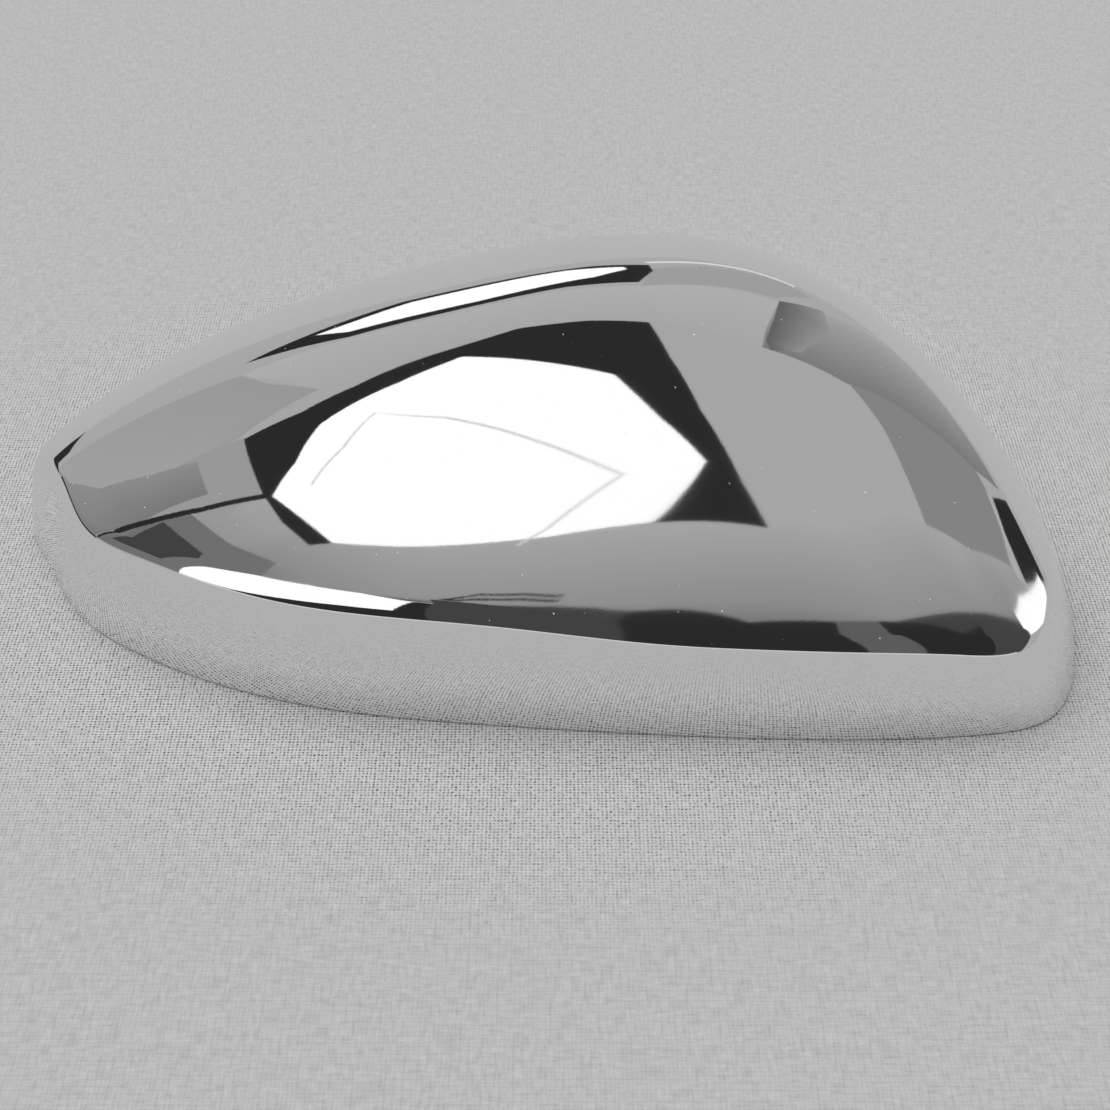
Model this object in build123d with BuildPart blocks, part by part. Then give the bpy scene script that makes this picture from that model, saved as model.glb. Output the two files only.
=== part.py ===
from build123d import *
import os

# Wing mirror cover: one thin moulded shell, open below, lying on its flat rim.
# Millimetres. The rim lies on z = 0, +X runs from the pointed nose to the blunt end,
# -Y is the long straight edge and +Z is up through the crown.

# Overall sizes
length = 224.5
depth = 142.0
wall = 2.5

# Skirt: the steep band between the rim and the shoulder, how far it leans in over that height,
# how far it bows out half-way up, and how far up its outlines go on, in skirt heights
skirt_height = 22.0
end_taper = 5.9
side_taper = 1.4
nose_shift = -1.75
edge_lean = 0.3
skirt_bulge = 0.8
skirt_reach = 2.2
shoulder_radius = 9.0
inner_chamfer = 2.4

# Crown: the domed top, a curved sheet that runs out past the skirt on every side
crown_rise = 44.0
far_drop = 11.7
margin = 12.0

# Snap tongues moulded inside the skirt
tongue_width = 12.0
tongue_thickness = 2.0
tongue_clearance = 7.0
tongue_start = 6.0
barb_depth = 2.2
barb_height = 4.0
gusset_depth = 9.0
gusset_height = 16.0

half_length = length / 2
half_depth = depth / 2

# Rim outline, anticlockwise from the far blunt corner, in halves of the length and the depth
rim_shape = [
    (0.590, 0.789), (0.216, 1.000), (-0.230, 0.923), (-0.604, 0.676), (-0.871, 0.338), (-1.000, 0.020),
    (-0.938, -0.218), (-0.853, -0.458), (-0.737, -0.620), (-0.443, -0.842), (-0.060, -0.944), (0.438, -1.000),
    (0.767, -0.986), (0.914, -0.912), (0.968, -0.770), (0.999, -0.520), (0.963, -0.070), (0.839, 0.380),
]

# Outline points that carry a snap tongue
tongue_seats = (1, 3, 8, 11, 16)

# Crown lines at eight stations along the length: where the sheet starts and ends
# across the depth, how far its near edge lies below the shoulder (mm), and its share of the rise
stations = (-1.04, -0.81, -0.54, -0.185, 0.215, 0.57, 0.82, 1.04)
near_line = (0.02, -0.60, -0.86, -1.00, -1.055, -1.07, -1.055, -1.01)
far_line = (0.175, 0.51, 0.795, 1.03, 1.11, 0.89, 0.43, -0.20)
near_drop = (7.1, 6.6, 3.8, 4.1, 6.8, 7.3, 9.8, 15.7)
rise_line = (-0.03, 0.395, 0.645, 0.84, 1.00, 0.905, 0.545, -0.135)

# Control polygon of the crown's cross-section: shares of the width and of the rise
section_across = (0.0, 0.146, 0.44, 0.555, 0.806, 1.013, 1.0)
section_rise = (0.0, 0.613, 1.625, 1.25, 0.509, 0.929, 0.0)

skirt_top = skirt_reach * skirt_height
block_top = skirt_top + crown_rise


def directions(points, closed):
    """The direction of a run of points at each of its points."""
    run = [Vector(*p) for p in points]
    if closed:
        run = [run[-1], *run, run[0]]
    else:
        run = [run[0], *run, run[-1]]
    return [(after - before).normalized() for before, after in zip(run, run[2:])]


def inset(points, amount, closed):
    """Move a run of points to its left-hand side, square to the run."""
    ways = directions(points, closed)
    return [(x - way.Y * amount, y + way.X * amount) for (x, y), way in zip(points, ways)]


def skirt_outline(z, inward):
    """The skirt's outline at a height, moved inward by a distance."""
    k = z / skirt_height
    across_x = half_length - end_taper * k
    across_y = half_depth - side_taper * k
    points = [(x * across_x + nose_shift * k, y * across_y + edge_lean * k) for x, y in rim_shape]
    bow = 4 * skirt_bulge * k * (1 - k)
    return inset(points, inward - bow, closed=True)


def crown_section(i, inward):
    """Control points of the crown's curve at one station, in Y and Z."""
    near_y = near_line[i] * half_depth
    far_y = far_line[i] * half_depth
    near_z = skirt_height - near_drop[i]
    far_z = skirt_height - far_drop
    rise = rise_line[i] * crown_rise
    points = [
        (near_y + t * (far_y - near_y), near_z + t * (far_z - near_z) + r * rise)
        for t, r in zip(section_across, section_rise)
    ]
    return inset(points, -inward, closed=False)


def dome(inward, base, soften, amount):
    """The closed body under the crown and within the skirt, inset on all sides but the base."""
    with BuildPart() as skirt:
        for z in (base, skirt_height, skirt_top):
            with BuildSketch(Plane.XY.offset(z)):
                with BuildLine():
                    Spline(*skirt_outline(z, inward), periodic=True)
                make_face()
        loft()
        extrude(skirt.faces().sort_by(Axis.Z)[-1], amount=crown_rise)
    with BuildPart() as crown:
        for i, station in enumerate(stations):
            curve = crown_section(i, inward)
            (near_y, near_z), (far_y, far_z) = curve[0], curve[-1]
            with BuildSketch(Plane.YZ.offset(station * half_length)):
                with BuildLine():
                    Bezier(*curve)
                    Polyline(
                        (far_y, far_z),
                        (far_y + margin, far_z),
                        (far_y + margin, base - margin),
                        (near_y - margin, base - margin),
                        (near_y - margin, near_z),
                        (near_y, near_z),
                    )
                make_face()
        loft()
    with BuildPart() as body:
        add(skirt.part)
        add(crown.part, mode=Mode.INTERSECT)
        shoulder = body.faces().sort_by(Axis.Z)[-1].edges()
        soften(shoulder, amount)
    return body.part


def tongue_plane(i):
    """An upright plane across a tongue: X points inward from the skirt, Y points up."""
    seats = skirt_outline(tongue_start, wall + tongue_clearance)
    way = directions(seats, closed=True)[i]
    x, y = seats[i]
    return Plane(origin=(x, y, tongue_start), x_dir=(-way.Y, way.X, 0), z_dir=(way.X, way.Y, 0))


# The shoulder is round outside and chamfered inside
outside = dome(0, 0, fillet, shoulder_radius)
middle = dome(wall / 2, 0, chamfer, inner_chamfer)
inside = dome(wall, -margin, chamfer, inner_chamfer)

# Each tongue hangs from the crown, with a barb towards the skirt and a gusset behind it
with BuildPart() as tongues:
    for seat in tongue_seats:
        with BuildSketch(tongue_plane(seat)):
            with BuildLine():
                Polyline(
                    (0, 0),
                    (tongue_thickness, 0),
                    (tongue_thickness, block_top),
                    (0, block_top),
                    (0, barb_height),
                    (-barb_depth, barb_height),
                    close=True,
                )
            make_face()
        extrude(amount=tongue_width / 2, both=True)
        with BuildSketch(tongue_plane(seat)):
            with BuildLine():
                Polyline(
                    (tongue_thickness / 2, barb_height),
                    (tongue_thickness + gusset_depth, barb_height + gusset_height),
                    (tongue_thickness + gusset_depth, block_top),
                    (tongue_thickness / 2, block_top),
                    close=True,
                )
            make_face()
        extrude(amount=tongue_thickness / 2, both=True)
    add(middle, mode=Mode.INTERSECT)

with BuildPart() as mirror_cover:
    add(outside)
    add(inside, mode=Mode.SUBTRACT)
    add(tongues.part)

mirror_cover.part.label = "mirror_cover"
os.makedirs("parts", exist_ok=True)
export_step(mirror_cover.part, "parts/mirror_cover.step")
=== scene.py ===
import math

import bpy
import numpy as np
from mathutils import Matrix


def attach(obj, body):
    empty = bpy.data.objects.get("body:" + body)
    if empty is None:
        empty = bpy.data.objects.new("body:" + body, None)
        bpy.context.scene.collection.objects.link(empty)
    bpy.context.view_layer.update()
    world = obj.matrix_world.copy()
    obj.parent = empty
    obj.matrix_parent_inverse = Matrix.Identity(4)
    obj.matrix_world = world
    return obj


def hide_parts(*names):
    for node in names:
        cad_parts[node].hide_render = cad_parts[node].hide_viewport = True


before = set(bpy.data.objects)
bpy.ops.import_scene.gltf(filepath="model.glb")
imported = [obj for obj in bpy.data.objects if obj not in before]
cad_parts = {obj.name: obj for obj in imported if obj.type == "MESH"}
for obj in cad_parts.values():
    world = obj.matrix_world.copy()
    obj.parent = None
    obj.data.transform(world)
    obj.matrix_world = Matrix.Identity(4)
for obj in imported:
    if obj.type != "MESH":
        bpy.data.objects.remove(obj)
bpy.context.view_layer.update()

# Wing mirror cover, plated bright, lying on its rim. Sizes in millimetres, as in the solid.
MM = 0.001
LENGTH = 224.5
DEPTH = 142.0
WALL = 2.5
RIM_ROUND = 0.5

# Skirt: its height, how far it leans in over that height, and how far it bows out half-way up
SKIRT_HEIGHT = 22.0
END_TAPER = 5.9
SIDE_TAPER = 1.4
NOSE_SHIFT = -1.75
EDGE_LEAN = 0.3
SKIRT_BULGE = 0.8
SHOULDER_RADIUS = 9.0

# Rim outline in halves of the length and the depth, and the points of it that carry a tongue
RIM_SHAPE = np.array([
    (0.590, 0.789), (0.216, 1.000), (-0.230, 0.923), (-0.604, 0.676), (-0.871, 0.338), (-1.000, 0.020),
    (-0.938, -0.218), (-0.853, -0.458), (-0.737, -0.620), (-0.443, -0.842), (-0.060, -0.944), (0.438, -1.000),
    (0.767, -0.986), (0.914, -0.912), (0.968, -0.770), (0.999, -0.520), (0.963, -0.070), (0.839, 0.380),
])
TONGUE_SEATS = (1, 3, 8, 11, 16)

# Crown: its rise, and how far its far edge lies below the shoulder
CROWN_RISE = 44.0
FAR_DROP = 11.7

# Crown lines at eight stations along the length: where the sheet starts and ends across the depth, how far
# its near edge lies below the shoulder, and its share of the rise
STATIONS = np.array([-1.04, -0.81, -0.54, -0.185, 0.215, 0.57, 0.82, 1.04])
NEAR_LINE = np.array([0.02, -0.60, -0.86, -1.00, -1.055, -1.07, -1.055, -1.01])
FAR_LINE = np.array([0.175, 0.51, 0.795, 1.03, 1.11, 0.89, 0.43, -0.20])
NEAR_DROP = np.array([7.1, 6.6, 3.8, 4.1, 6.8, 7.3, 9.8, 15.7])
RISE_LINE = np.array([-0.03, 0.395, 0.645, 0.84, 1.00, 0.905, 0.545, -0.135])

# Control polygon of the crown's cross-section: shares of the width and of the rise
SECTION_ACROSS = np.array([0.0, 0.146, 0.44, 0.555, 0.806, 1.013, 1.0])
SECTION_RISE = np.array([0.0, 0.613, 1.625, 1.25, 0.509, 0.929, 0.0])

# Snap tongues: a corner at the height TOP reaches up into the wall of the crown
TONGUE_WIDTH = 12.0
TONGUE_THICKNESS = 2.0
TONGUE_CLEARANCE = 7.0
TONGUE_START = 6.0
BARB_DEPTH = 2.2
BARB_HEIGHT = 4.0
GUSSET_DEPTH = 9.0
GUSSET_HEIGHT = 16.0
TOP = None

# Mesh: points around each shell, rings up the skirt, the shoulder and the crown, where the rings close, and
# the rings of the rounded rim in shares of a quarter turn
AROUND = 400
OUTER_RINGS = (10, 12, 48)
INNER_RINGS = (6, 6, 24)
MIDDLE = np.array([-5.0, -5.0])
RIM_TURNS = (1, 0.67, 0.33)

# Search for places on the crown: rounds of each search, where the foot of the ball starts along the length,
# the share of a step that is taken, the least slope, and the length over which a slope is measured
OVER_ROUNDS = 12
BALL_ROUNDS = 24
FOOT_ROUNDS = 14
FOOT_START = 0.9
FOOT_STEP = 0.5
LEAST_SLOPE = 8.0
SLOPE_LENGTH = 0.02

# Plating: tint, dust, haze and grain, with their counts in one metre
CHROME_TINT = (0.87, 0.87, 0.875, 1)
DUST_COUNT = 500
DUST_CHANCE = (0.6, 1)
DUST_SIZE = (0, 0.08)
DUST_ROUGHNESS = 0.5
HAZE_COUNT = 14
HAZE_SPREAD = (0.35, 0.75)
HAZE_ROUGHNESS = (0.02, 0.05)
GRAIN_COUNT = 3000
GRAIN_HEIGHT = 6e-7

# Cloth: pitch of its threads in metres, its shades, and the gaps between the threads, which are uneven and
# show less with the distance from the object
THREAD = 0.75 * MM
THREAD_STRETCH = 0.2
THREAD_SPREAD = (0.6, 1.4)
CLOTH_SHADE = (0.43, 0.55)
CLOTH_ROUGHNESS = 0.95
BAND_SCALE = math.pi / (10 * THREAD)
BAND_WAVER = 2
GAP_COUNT = 1.2 / THREAD
GAP_SPREAD = (0.3, 0.7)
GAP_SHARE = (0.4, 1.6)
GAP_MEAN = 0.25
WEAVE_OVAL = (0.65, 1, 1)
WEAVE_REACH = (0.08, 0.125)
WEAVE_STRENGTH = (0.5, 0.05)

# Studio: half the floor's side, the middle of the ring of cards, the levels at which they show, and their
# distances from the middle
FLOOR = 15000.0
STUDIO_MIDDLE = np.array([0, 0, 30.0])
WHITE = 1.15
LIGHT = 0.475
ROOM = 0.435
GREY = 0.26
DIM = 0.12
SOOT = 0.06
BLACK = 0.025
SEAM_AT = 1250.0
EDGE_AT = 1400.0
LAMP_AT = 1450.0
FLAG_AT = 1550.0
SCREEN_AT = 1650.0
GAP_AT = 1700.0
WALL_AT = 1800.0

# Soft lamp overhead: its spread and tilt in degrees
LAMP_SPREAD = 64
LAMP_STRENGTH = 1.85
LAMP_TILT = (-7, -15, 0)

# Camera: place in metres, pitch in degrees, lens and sensor in millimetres, and how far it sees in metres
CAMERA_PLACE = (0.0042, -0.3705, 0.271)
CAMERA_PITCH = 53
CAMERA_LENS = 66.71
CAMERA_SENSOR = 36
CAMERA_REACH = 40


def unit(rows):
    """Rows scaled to a length of one."""
    return rows / np.linalg.norm(rows, axis=-1, keepdims=True)


def cubic(knots, values, at, closed=False):
    """A smooth cubic curve through values at knots, read at the given places."""
    gap = np.diff(knots)
    count = len(gap) if closed else len(knots)
    lines = np.zeros((count, count))
    right = np.zeros((count,) + values.shape[1:])
    slope = (values[1:] - values[:-1]) / gap.reshape(-1, *[1] * (values.ndim - 1))
    for i in range(count) if closed else range(1, count - 1):
        lines[i, i - 1] += gap[i - 1]
        lines[i, i] += 2 * (gap[i - 1] + gap[i])
        lines[i, (i + 1) % count] += gap[i]
        right[i] = 6 * (slope[i] - slope[i - 1])
    if not closed:
        lines[0, :3] = gap[1], -(gap[0] + gap[1]), gap[0]
        lines[-1, -3:] = gap[-1], -(gap[-2] + gap[-1]), gap[-2]
    bend = np.linalg.solve(lines, right.reshape(count, -1)).reshape(right.shape)
    if closed:
        bend = np.concatenate([bend, bend[:1]])
    i = np.clip(np.searchsorted(knots, at, side="right") - 1, 0, len(gap) - 1)
    shape = (-1,) + (1,) * (values.ndim - 1)
    step = gap[i].reshape(shape)
    f = ((at - knots[i]) / gap[i]).reshape(shape)
    curve = (f**3 - f) * bend[i + 1] + ((1 - f) ** 3 - (1 - f)) * bend[i]
    return (1 - f) * values[i] + f * values[i + 1] + curve * step**2 / 6


def inset(points, amount, before, after):
    """Move points to the left-hand side of their run."""
    way = unit(after - before)
    return points + amount * np.stack([-way[:, 1], way[:, 0]], 1)


def skirt_outline(k, inward):
    """Points of the skirt's outline at a share of its height, moved inward by a distance."""
    half = np.array([LENGTH / 2 - END_TAPER * k, DEPTH / 2 - SIDE_TAPER * k])
    points = RIM_SHAPE * half + np.array([NOSE_SHIFT, EDGE_LEAN]) * k
    bow = 4 * SKIRT_BULGE * k * (1 - k)
    return inset(points, inward - bow, np.roll(points, 1, 0), np.roll(points, -1, 0))


class Shell:
    """One face of the cover, outer or inner: a bowed skirt, a crown and a round shoulder between them."""

    def __init__(self, inward, radius, rim_round):
        self.radius = radius
        self.rim_round = rim_round
        # The skirt bows as a parabola through its outlines at none, one and two skirt heights
        rings = []
        for k in (0, 1, 2):
            points = skirt_outline(k, inward)
            points = np.vstack([points, points[:1]])
            run = np.r_[0, np.cumsum(np.linalg.norm(np.diff(points, axis=0), axis=1))]
            rings.append(cubic(run / run[-1], points, np.arange(AROUND) / AROUND, closed=True))
        low, mid, high = rings
        self.low = low
        self.lean = (4 * mid - 3 * low - high) / (2 * SKIRT_HEIGHT)
        self.bend = (low - 2 * mid + high) / (2 * SKIRT_HEIGHT**2)
        # The crown is a net of control points, one cross-section at each station
        across = (NEAR_LINE[:, None] + SECTION_ACROSS * (FAR_LINE - NEAR_LINE)[:, None]) * DEPTH / 2
        level = SKIRT_HEIGHT - NEAR_DROP[:, None] + SECTION_ACROSS * (NEAR_DROP - FAR_DROP)[:, None]
        up = level + SECTION_RISE * RISE_LINE[:, None] * CROWN_RISE
        net = []
        for points in np.stack([across, up], 2):
            before = np.vstack([points[:1], points[:-1]])
            after = np.vstack([points[1:], points[-1:]])
            net.append(inset(points, -inward, before, after))
        self.net = np.array(net)

    def skirt(self, z):
        """Points of the skirt at a height for each point around it."""
        z = z[:, None]
        return np.hstack([self.low + self.lean * z + self.bend * z**2, z])

    def skirt_normal(self, z):
        """Normals of the skirt at a height for each point around it."""
        z = z[:, None]
        low, lean, bend = (np.roll(a, -1, 0) - np.roll(a, 1, 0) for a in (self.low, self.lean, self.bend))
        along = low + lean * z + bend * z**2
        up = self.lean + 2 * self.bend * z
        fall = along[:, 0] * up[:, 1] - along[:, 1] * up[:, 0]
        return unit(np.stack([along[:, 1], -along[:, 0], fall], 1))

    def section(self, x, share):
        """Points of the crown at shares of its cross-sections, and how they move with the share."""
        points = cubic(STATIONS * LENGTH / 2, self.net, x)
        degree = points.shape[1] - 1
        for _ in range(degree - 1):
            points = points[:, :-1] + share[:, None, None] * (points[:, 1:] - points[:, :-1])
        step = points[:, 1] - points[:, 0]
        place = points[:, 0] + share[:, None] * step
        return np.column_stack([x, place]), np.column_stack([np.zeros_like(x), degree * step])

    def crown(self, x, share):
        """Points of the crown, their slopes both ways, and the normals."""
        place, across = self.section(x, share)
        before, _ = self.section(x - SLOPE_LENGTH, share)
        after, _ = self.section(x + SLOPE_LENGTH, share)
        along = (after - before) / (2 * SLOPE_LENGTH)
        return place, along, across, unit(np.cross(along, across))

    def crown_over(self, x, y):
        """Points and normals of the crown straight above places on the floor."""
        ends = cubic(STATIONS * LENGTH / 2, self.net[:, [0, -1]], x)[..., 0]
        share = np.clip((y - ends[:, 0]) / (ends[:, 1] - ends[:, 0]), 0, 1)
        for _ in range(OVER_ROUNDS):
            place, across = self.section(x, share)
            share = np.clip(share + (y - place[:, 1]) / np.maximum(across[:, 1], LEAST_SLOPE), 0, 1)
        place, _, _, normal = self.crown(x, share)
        return place, normal

    def shoulder(self):
        """Roll a ball along the inside of the skirt, as high as the crown lets it go."""
        low = np.zeros(AROUND)
        high = np.full(AROUND, 2 * SKIRT_HEIGHT)
        x = FOOT_START * self.low[:, 0]
        share = np.full(AROUND, 0.5)
        for _ in range(BALL_ROUNDS):
            z = (low + high) / 2
            normal = self.skirt_normal(z)
            ball = self.skirt(z) - self.radius * normal
            for _ in range(FOOT_ROUNDS):
                foot, along, across, top_normal = self.crown(x, share)
                off = ball - foot
                a, b, c = (along**2).sum(1), (along * across).sum(1), (across**2).sum(1)
                p, q = (along * off).sum(1), (across * off).sum(1)
                x = x + FOOT_STEP * (c * p - b * q) / (a * c - b * b)
                share = np.clip(share + FOOT_STEP * (a * q - b * p) / (a * c - b * b), 0, 1)
            fits = -(off * top_normal).sum(1) > self.radius
            low = np.where(fits, z, low)
            high = np.where(fits, high, z)
        return z, ball, normal, foot, top_normal

    def rim_rows(self):
        """Rings of the rounded edge at the rim, and the height at which the skirt starts."""
        if not self.rim_round:
            return [], np.zeros(AROUND)
        level = np.full(AROUND, self.rim_round)
        level = self.rim_round * (1 + self.skirt_normal(level)[:, 2])
        normal = self.skirt_normal(level)
        edge = self.skirt(level) - self.rim_round * normal
        rows = []
        for k in RIM_TURNS:
            way = unit(np.cos(k * np.pi / 2) * normal - np.sin(k * np.pi / 2) * np.array([0, 0, 1]))
            rows.append((edge + self.rim_round * way, way))
        return rows, level

    def rings(self, skirt_rings, shoulder_rings, crown_rings):
        """Points and normals ring by ring, from the rim to the middle of the crown, and how many rings."""
        height, ball, normal, foot, top_normal = self.shoulder()
        rows, level = self.rim_rows()
        for k in np.linspace(0, 1, skirt_rings):
            z = level + k * (height - level)
            rows.append((self.skirt(z), self.skirt_normal(z)))
        turn = np.arccos(np.clip((normal * top_normal).sum(1), -1, 1))[:, None]
        for k in np.linspace(0, 1, shoulder_rings)[1:]:
            way = (np.sin((1 - k) * turn) * normal + np.sin(k * turn) * top_normal) / np.sin(turn)
            rows.append((ball + self.radius * way, way))
        for k in np.linspace(0, 1, crown_rings + 1)[1:-1]:
            x, y = (foot[:, :2] + k * (MIDDLE - foot[:, :2])).T
            rows.append(self.crown_over(x, y))
        count = len(rows)
        rows.append(self.crown_over(*MIDDLE[:, None]))
        points = np.vstack([place for place, way in rows])
        normals = np.vstack([way for place, way in rows])
        return points, normals, count


def shell_faces(count, start, flip):
    """Quads between rings and a fan at the middle."""
    ring = np.arange(AROUND)
    after = np.roll(ring, -1)
    faces = []
    for i in range(count - 1):
        a, b = start + i * AROUND, start + (i + 1) * AROUND
        faces += np.stack([a + ring, a + after, b + after, b + ring], 1).tolist()
    last = start + (count - 1) * AROUND
    middle = start + count * AROUND
    faces += [[last + i, last + j, middle] for i, j in zip(ring.tolist(), after.tolist())]
    return [face[::-1] for face in faces] if flip else faces


def new_object(name, points, faces, material):
    """A mesh object from points in millimetres."""
    mesh = bpy.data.meshes.new(name)
    mesh.from_pydata((np.asarray(points) * MM).tolist(), [], faces)
    mesh.materials.append(material)
    piece = bpy.data.objects.new(name, mesh)
    bpy.context.scene.collection.objects.link(piece)
    return piece


def dress(piece):
    """Put a piece on the body, in place of the plain solid."""
    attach(piece, "root")
    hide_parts("mirror_cover")


def make_cover(outer_shell, inner_shell, material):
    """The outer face, the inner face and the flat rim between them."""
    outer, outer_normals, outer_count = outer_shell.rings(*OUTER_RINGS)
    inner, inner_normals, inner_count = inner_shell.rings(*INNER_RINGS)
    second = len(outer)
    ring = np.arange(AROUND)
    after = np.roll(ring, -1)
    rim = np.stack([ring, second + ring, second + after, after], 1).tolist()
    faces = shell_faces(outer_count, 0, False) + shell_faces(inner_count, second, True) + rim
    cover = new_object("cover_shell", np.vstack([outer, inner]), faces, material)
    cover.data.polygons.foreach_set("use_smooth", [True] * len(faces))
    # Each corner takes its point's normal, apart from the rim's, which look straight down
    normals = np.vstack([outer_normals, -inner_normals])
    corner_vertex = np.empty(len(cover.data.loops), int)
    cover.data.loops.foreach_get("vertex_index", corner_vertex)
    corner_normals = normals[corner_vertex]
    corner_normals[-4 * AROUND:] = (0, 0, -1)
    cover.data.normals_split_custom_set(corner_normals.tolist())
    dress(cover)


def make_tongues(outer_shell, material):
    """Plates with a barb at the foot and a gusset behind, each ending inside the wall above."""
    back = TONGUE_THICKNESS + GUSSET_DEPTH
    plate = [
        (0, 0), (TONGUE_THICKNESS, 0), (TONGUE_THICKNESS, TOP), (0, TOP), (0, BARB_HEIGHT),
        (-BARB_DEPTH, BARB_HEIGHT)]
    gusset = [
        (TONGUE_THICKNESS / 2, BARB_HEIGHT), (back, BARB_HEIGHT + GUSSET_HEIGHT), (back, TOP),
        (TONGUE_THICKNESS / 2, TOP)]
    seats = skirt_outline(TONGUE_START / SKIRT_HEIGHT, WALL + TONGUE_CLEARANCE)
    ways = unit(np.roll(seats, -1, 0) - np.roll(seats, 1, 0))
    points = []
    faces = []
    for seat in TONGUE_SEATS:
        along = ways[seat]
        inward = np.array([-along[1], along[0]])
        for profile, width in ((plate, TONGUE_WIDTH), (gusset, TONGUE_THICKNESS)):
            start, count = len(points), len(profile)
            for side in (-width / 2, width / 2):
                for reach, height in profile:
                    x, y = seats[seat] + inward * reach + along * side
                    if height is TOP:
                        crown, _ = outer_shell.crown_over(np.array([x]), np.array([y]))
                        z = crown[0, 2] - WALL / 2
                    else:
                        z = TONGUE_START + height
                    points.append((x, y, z))
            faces.append([start + i for i in reversed(range(count))])
            faces.append([start + count + i for i in range(count)])
            for i in range(count):
                j = (i + 1) % count
                faces.append([start + i, start + j, start + count + j, start + count + i])
    dress(new_object("snap_tongues", points, faces, material))


# Materials
def new_material(name):
    """A new material with its node tree and its shader."""
    material = bpy.data.materials.new(name)
    material.use_nodes = True
    return material, material.node_tree, material.node_tree.nodes["Principled BSDF"]


def new_node(tree, kind, inputs, **settings):
    """Add a node with its settings, and with a value or a link for each named input."""
    node = tree.nodes.new("ShaderNode" + kind)
    for key, value in settings.items():
        setattr(node, key, value)
    for key, value in inputs.items():
        if isinstance(value, bpy.types.NodeSocket):
            tree.links.new(value, node.inputs[key])
        else:
            node.inputs[key].default_value = value
    return node


def calculate(tree, operation, *values):
    """A sum, product or like result of some values."""
    return new_node(tree, "Math", dict(enumerate(values)), operation=operation).outputs["Value"]


def remap(tree, value, source, target):
    """Carry a value over from one range to another."""
    ends = {"From Min": source[0], "From Max": source[1], "To Min": target[0], "To Max": target[1]}
    return new_node(tree, "MapRange", {"Value": value, **ends}).outputs["Result"]


def noise(tree, place, count, detail):
    """Soft random spots, so many in one metre."""
    return new_node(tree, "TexNoise", {"Vector": place, "Scale": count, "Detail": detail}).outputs["Fac"]


def stretch(tree, place, scale):
    """Places scaled along each axis."""
    return new_node(tree, "Mapping", {"Vector": place, "Scale": scale}).outputs["Vector"]


def chrome_plating():
    """Bright plating with a faint haze, a fine grain and a few specks of dust."""
    material, tree, shader = new_material("chrome")
    place = new_node(tree, "TexCoord", {}).outputs["Object"]
    cells = new_node(tree, "TexVoronoi", {"Vector": place, "Scale": DUST_COUNT})
    chance = new_node(tree, "SeparateColor", {"Color": cells.outputs["Color"]}).outputs["Red"]
    size = remap(tree, chance, DUST_CHANCE, DUST_SIZE)
    dust = calculate(tree, "LESS_THAN", cells.outputs["Distance"], size)
    haze = remap(tree, noise(tree, place, HAZE_COUNT, detail=4), HAZE_SPREAD, HAZE_ROUGHNESS)
    roughness = calculate(tree, "MULTIPLY_ADD", dust, DUST_ROUGHNESS, haze)
    metal = calculate(tree, "SUBTRACT", 1, dust)
    grain = noise(tree, place, GRAIN_COUNT, detail=1)
    bump = new_node(tree, "Bump", {"Height": grain, "Strength": 1, "Distance": GRAIN_HEIGHT})
    shader.inputs["Base Color"].default_value = CHROME_TINT
    tree.links.new(metal, shader.inputs["Metallic"])
    tree.links.new(roughness, shader.inputs["Roughness"])
    tree.links.new(bump.outputs["Normal"], shader.inputs["Normal"])
    return material


def floor_cloth():
    """Plain pale cloth: a fine weave of uneven threads, darker in the gaps between them."""
    material, tree, shader = new_material("floor_cloth")
    place = new_node(tree, "TexCoord", {}).outputs["Object"]
    threads = []
    bands = []
    for axis, run in (("X", (1, THREAD_STRETCH, 1)), ("Y", (THREAD_STRETCH, 1, 1))):
        threads.append(noise(tree, stretch(tree, place, run), 1 / THREAD, detail=1))
        wave = new_node(tree, "TexWave", {
            "Vector": place, "Scale": BAND_SCALE, "Distortion": BAND_WAVER, "Detail": 1, "Detail Scale": 2},
            bands_direction=axis)
        bands.append(wave.outputs["Fac"])
    shade = remap(tree, calculate(tree, "ADD", *threads), THREAD_SPREAD, CLOTH_SHADE)
    share = remap(tree, noise(tree, place, GAP_COUNT, detail=0), GAP_SPREAD, GAP_SHARE)
    gap = calculate(tree, "MULTIPLY", calculate(tree, "MULTIPLY", *bands), share)
    depth = calculate(tree, "SUBTRACT", GAP_MEAN, gap)
    oval = stretch(tree, place, WEAVE_OVAL)
    away = new_node(tree, "VectorMath", {"Vector": oval}, operation="LENGTH").outputs["Value"]
    strength = remap(tree, away, WEAVE_REACH, WEAVE_STRENGTH)
    weave = calculate(tree, "MULTIPLY_ADD", depth, strength, shade)
    tree.links.new(weave, shader.inputs["Base Color"])
    shader.inputs["Roughness"].default_value = CLOTH_ROUGHNESS
    shader.inputs["Specular IOR Level"].default_value = 0.0
    return material


def card_glow():
    """Plain light, at the level that each point of a card carries."""
    material, tree, shader = new_material("studio")
    level = new_node(tree, "Attribute", {}, attribute_name="glow").outputs["Fac"]
    light = new_node(tree, "Emission", {"Color": (1, 1, 1, 1), "Strength": level})
    tree.links.new(light.outputs["Emission"], tree.nodes["Material Output"].inputs["Surface"])
    tree.nodes.remove(shader)
    return material


# The cover and its tongues
chrome = chrome_plating()
outer_shell = Shell(0, SHOULDER_RADIUS, RIM_ROUND)
inner_shell = Shell(WALL, SHOULDER_RADIUS - WALL, 0)
make_cover(outer_shell, inner_shell, chrome)
make_tongues(outer_shell, chrome)

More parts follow.
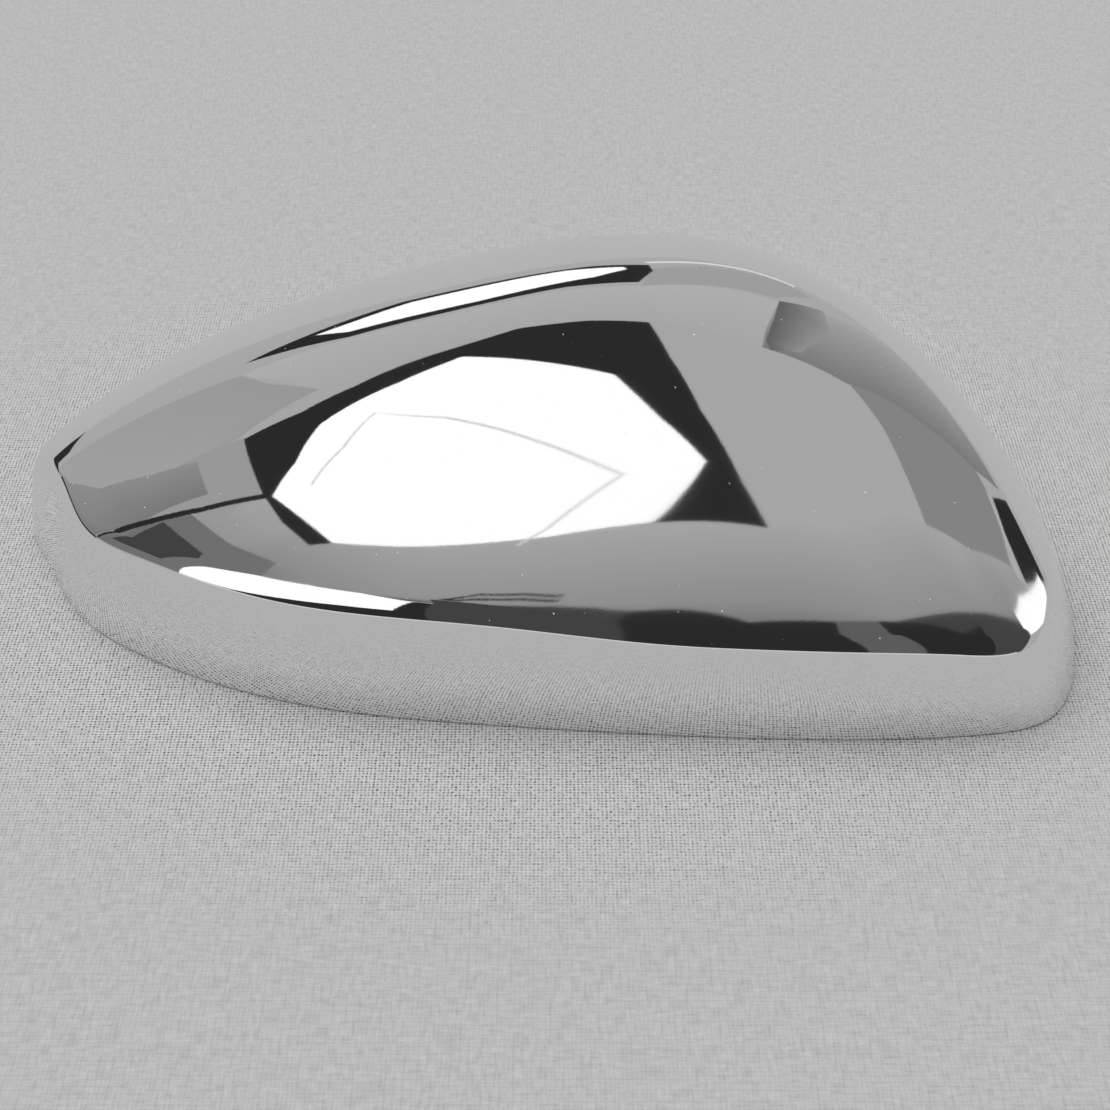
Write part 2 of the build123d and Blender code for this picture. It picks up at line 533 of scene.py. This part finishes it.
# Floor: plain pale cloth
corners = [(-FLOOR, -FLOOR, 0), (FLOOR, -FLOOR, 0), (FLOOR, FLOOR, 0), (-FLOOR, FLOOR, 0)]
floor = new_object("floor", corners, [[0, 1, 2, 3]], floor_cloth())

# Studio: lamps, flags and screens around the object that the plating mirrors. Their corners are given by
# azimuth from the camera's side and by elevation, in degrees.
studio = card_glow()


def directions(corners):
    """Ways to look for pairs of azimuth and elevation."""
    azimuth, elevation = np.radians(np.array(corners, float)).T
    flat = np.cos(elevation)
    return np.stack([np.sin(azimuth) * flat, -np.cos(azimuth) * flat, np.sin(elevation)], 1)


def card(name, ways, faces, glow, distance):
    """A thin sheet seen only in reflections, with a glow for each of its points."""
    sheet = new_object(name, ways * distance + STUDIO_MIDDLE, faces, studio)
    levels = sheet.data.attributes.new("glow", "FLOAT", "POINT")
    levels.data.foreach_set("value", np.array(glow, np.float32))
    sheet.visible_camera = False
    sheet.visible_diffuse = False
    sheet.visible_shadow = False


def panel(name, corners, glow, distance):
    """A panel of one level, as a fan about its middle."""
    ways = directions(corners)
    count = len(ways)
    fan = [[i, (i + 1) % count, count] for i in range(count)]
    card(name, np.vstack([ways, unit(ways.mean(0))]), fan, [glow] * (count + 1), distance)


def strip_faces(count):
    """Quads between two edges of as many points each."""
    return [[i, i + 1, count + i + 1, count + i] for i in range(count - 1)]


def fading_wall(name, first, second, glow, distance):
    """A wall between two edges, which fades from the first one's level to the second one's."""
    count = len(first)
    ways = np.vstack([directions(first), directions(second)])
    card(name, ways, strip_faces(count), np.repeat(glow, count), distance)


def rod(name, route, width, glow, distance):
    """A thin bar along a route; its width is in degrees."""
    ways = directions(route)
    along = np.gradient(ways, axis=0)
    side = unit(np.cross(ways, along)) * math.radians(width / 2)
    count = len(route)
    card(name, np.vstack([ways - side, ways + side]), strip_faces(count), [glow] * 2 * count, distance)


# Overhead lamp in its black frame
panel("softbox", [
    (-80, 57), (-96, 61), (-121, 60), (-146, 56), (-156, 51), (-157, 64), (-160, 75), (-24, 86), (6, 74),
    (0, 67), (-2, 62), (-12, 62), (-37, 61), (-52, 58)], WHITE, LAMP_AT)
panel("softbox_frame", [
    (-116, 51), (-83, 56), (-68, 56), (-56, 56), (-50, 59), (-37, 62), (-12, 63), (-2, 62), (13, 60),
    (13, 69), (54, 88), (-179, 70), (-178, 50), (-171, 45), (-165, 42), (-157, 46), (-144, 52), (-130, 54)],
    BLACK, FLAG_AT)
rod("softbox_seam", [
    (-79, 62), (-101, 66), (-127, 64), (-118, 72), (-92, 78), (-36, 78), (-10, 72), (-13, 63), (-15, 61)],
    width=0.3, glow=0.7, distance=SEAM_AT)

# Long lamps at the near and the far side, each on a black bar
panel("near_lamp", [
    (-62, 1), (-63, 14), (-63, 32), (-59, 47), (-47, 51), (-35, 51), (-22, 43), (-21, 19), (-29, 18),
    (-38, 13), (-50, 4)], WHITE, LAMP_AT)
panel("near_bar", [(-54, 1), (-38, 16), (-21, 44), (-17, 42), (-16, 1)], BLACK, FLAG_AT)
panel("far_lamp", [
    (-161, 12), (-164, 10), (-168, 6), (-176, 6), (-180, 8), (180, 10), (-177, 14), (-169, 17), (-162, 17)],
    WHITE, LAMP_AT)
panel("far_bar", [
    (-154, 15), (-161, 10), (-168, 4), (-178, 5), (178, 7), (178, 12), (180, 21), (-174, 19), (-168, 20),
    (-161, 21), (-158, 18)], BLACK, FLAG_AT)

# Dark panels and two cables behind the camera
panel("camera_left", [
    (-19, 44), (-22, 53), (-15, 53.5), (-9, 52.5), (-5, 51.5), (-2, 50.3), (0, 49), (-4, 1), (-16, 1)],
    SOOT, FLAG_AT)
panel("camera_middle", [(0, 49), (6, 46), (17, 46), (15, 31), (14, 1), (-4, 1)], BLACK, FLAG_AT)
panel("camera_gap", [(17, 46), (25, 46), (28, 44), (22, 1), (14, 1), (15, 31)], DIM, FLAG_AT)
panel("camera_right", [(25, 46), (48, 43), (58, 42), (42, 10), (36, 1), (22, 1), (28, 44)], BLACK, FLAG_AT)
panel("camera_end", [
    (30, 46), (50, 45), (82, 34), (78, 14), (60, 1), (36, 1), (42, 10), (58, 42), (48, 43)], SOOT, SCREEN_AT)
for name, lift in (("upper_cable", 1.2), ("lower_cable", 0.6)):
    route = [(-22, 54), (-15, 53.5 + lift), (-9, 52.7 + lift), (-5, 51.5 + lift)]
    rod(name, route, width=0.25, glow=BLACK, distance=FLAG_AT)

# Wall behind the camera, dark below and as light as the room above, and the floor's light edge before it
NEAR_EDGE = [(-92, 34), (-75, 42), (-60, 51), (-30, 52), (0, 49), (30, 46), (60, 42), (85, 34), (102, 20)]
fading_wall("near_wall", NEAR_EDGE, [
    (-86, 55), (-75, 60), (-60, 62), (-30, 64), (0, 62), (30, 60), (60, 58), (80, 46), (102, 27)],
    glow=(0.3, ROOM), distance=WALL_AT)
fading_wall("near_shade", [
    (-92, 30), (-75, 36), (-60, 42), (-30, 45), (0, 42), (30, 39), (60, 36), (85, 30), (102, 18)],
    NEAR_EDGE, glow=(0.1, 0.3), distance=WALL_AT)
rod("near_edge", [(azimuth, 1.2) for azimuth in (-62, -40, -20, 0, 20, 40, 55)],
    width=2.4, glow=0.7, distance=EDGE_AT)

# Right-hand side
panel("right_lamp", [(82, 34), (92, 29), (103, 20), (115, 8), (113, 1), (100, 1), (80, 16)], WHITE, LAMP_AT)
panel("right_bar", [(120, 14), (127, 3), (118, 4), (103, 21), (111, 19)], BLACK, FLAG_AT)
rod("right_edge", [(100, 24), (110, 20), (119, 16)], width=1.0, glow=LIGHT, distance=LAMP_AT)
panel("right_screen", [
    (131, 51), (110, 54), (90, 55), (70, 52), (82, 42), (100, 26), (118, 16), (124, 15), (124, 30),
    (128, 42)], GREY, SCREEN_AT)
fading_wall(
    "right_wall",
    [(156, 58), (143, 56), (131, 52), (128, 42), (124, 30), (124, 15), (128, 4)],
    [(163, 25), (160, 20), (157, 15), (154, 10), (152, 5), (150, 1), (148, 1)],
    glow=(0.22, 0.4), distance=WALL_AT)
fading_wall(
    "right_shade",
    [(162, 21), (160, 36), (157, 53), (153, 58)],
    [(157, 12), (152, 25), (149, 40), (147, 52)],
    glow=(0.13, 0.32), distance=SCREEN_AT)

# Far side
fading_wall(
    "far_wall",
    [(-150, 23), (-158, 22), (-165, 22), (-173, 21), (180, 24), (168, 22), (162, 22)],
    [(-143, 48), (-150, 48), (-160, 43), (-168, 42), (-178, 49), (173, 55), (157, 58)],
    glow=(0.48, 0.44), distance=WALL_AT)
panel("far_screen", [
    (178, 10), (173, 6), (168, 4), (164, 2), (160, 6), (163, 20), (168, 21), (-180, 24)],
    glow=0.38, distance=SCREEN_AT)
rod("far_edge", [(178, 5), (172, 3), (168, 2), (163, 2)], width=1.2, glow=0.8, distance=LAMP_AT)

# Left-hand side
fading_wall(
    "left_wall",
    [(-150, 23), (-146, 35), (-143, 48), (-130, 50), (-117, 50)],
    [(-124, 1), (-115, 10), (-107, 25), (-108, 35), (-109, 44)],
    glow=(0.36, 0.4), distance=WALL_AT)
fading_wall(
    "left_screen",
    [(-124, 1), (-111, 19), (-108, 34), (-108, 45)],
    [(-93, 1), (-94, 12), (-93, 34), (-91, 48)],
    glow=(0.3, 0.22), distance=SCREEN_AT)
panel("left_gap", [(-117, 51), (-84, 56), (-80, 50), (-88, 36), (-95, 22), (-108, 40)],
      glow=0.36, distance=GAP_AT)
rod("stand", [(-92, 3), (-93, 12), (-96, 23), (-92, 33), (-89, 40), (-86, 46), (-81, 57)],
    width=1.3, glow=BLACK, distance=FLAG_AT)
panel("left_bag", [(-89, 13), (-92, 25), (-89, 37), (-73, 43), (-70, 15)], SOOT, FLAG_AT)
panel("left_shade", [
    (-92, 2), (-95, 22), (-91, 35), (-86, 44), (-70, 48), (-58, 51), (-58, 40), (-62, 2)],
    glow=0.18, distance=SCREEN_AT)
panel("left_flag", [(-142, 0), (-138, 2), (-133, 4), (-128, 3), (-121, 0)], BLACK, FLAG_AT)
rod("left_rail", [(-121, 1), (-110, 1.5), (-100, 1.5), (-92, 1)], width=2.5, glow=BLACK, distance=FLAG_AT)

# Light: a grey room and one broad soft lamp overhead
world = bpy.data.worlds.new("room")
world.use_nodes = True
world.node_tree.nodes["Background"].inputs["Color"].default_value = (ROOM, ROOM, ROOM, 1)
bpy.context.scene.world = world
lamp_data = bpy.data.lights.new("soft_lamp", "SUN")
lamp_data.angle = math.radians(LAMP_SPREAD)
lamp_data.energy = LAMP_STRENGTH
lamp = bpy.data.objects.new("soft_lamp", lamp_data)
lamp.rotation_euler = np.radians(LAMP_TILT)
lamp.visible_glossy = False
bpy.context.scene.collection.objects.link(lamp)

# Camera
camera_data = bpy.data.cameras.new("camera")
camera_data.sensor_width = CAMERA_SENSOR
camera_data.lens = CAMERA_LENS
camera_data.clip_end = CAMERA_REACH
camera = bpy.data.objects.new("camera", camera_data)
camera.location = CAMERA_PLACE
camera.rotation_euler = (math.radians(CAMERA_PITCH), 0, 0)
bpy.context.scene.collection.objects.link(camera)
bpy.context.scene.camera = camera
bpy.context.scene.view_settings.view_transform = "Standard"
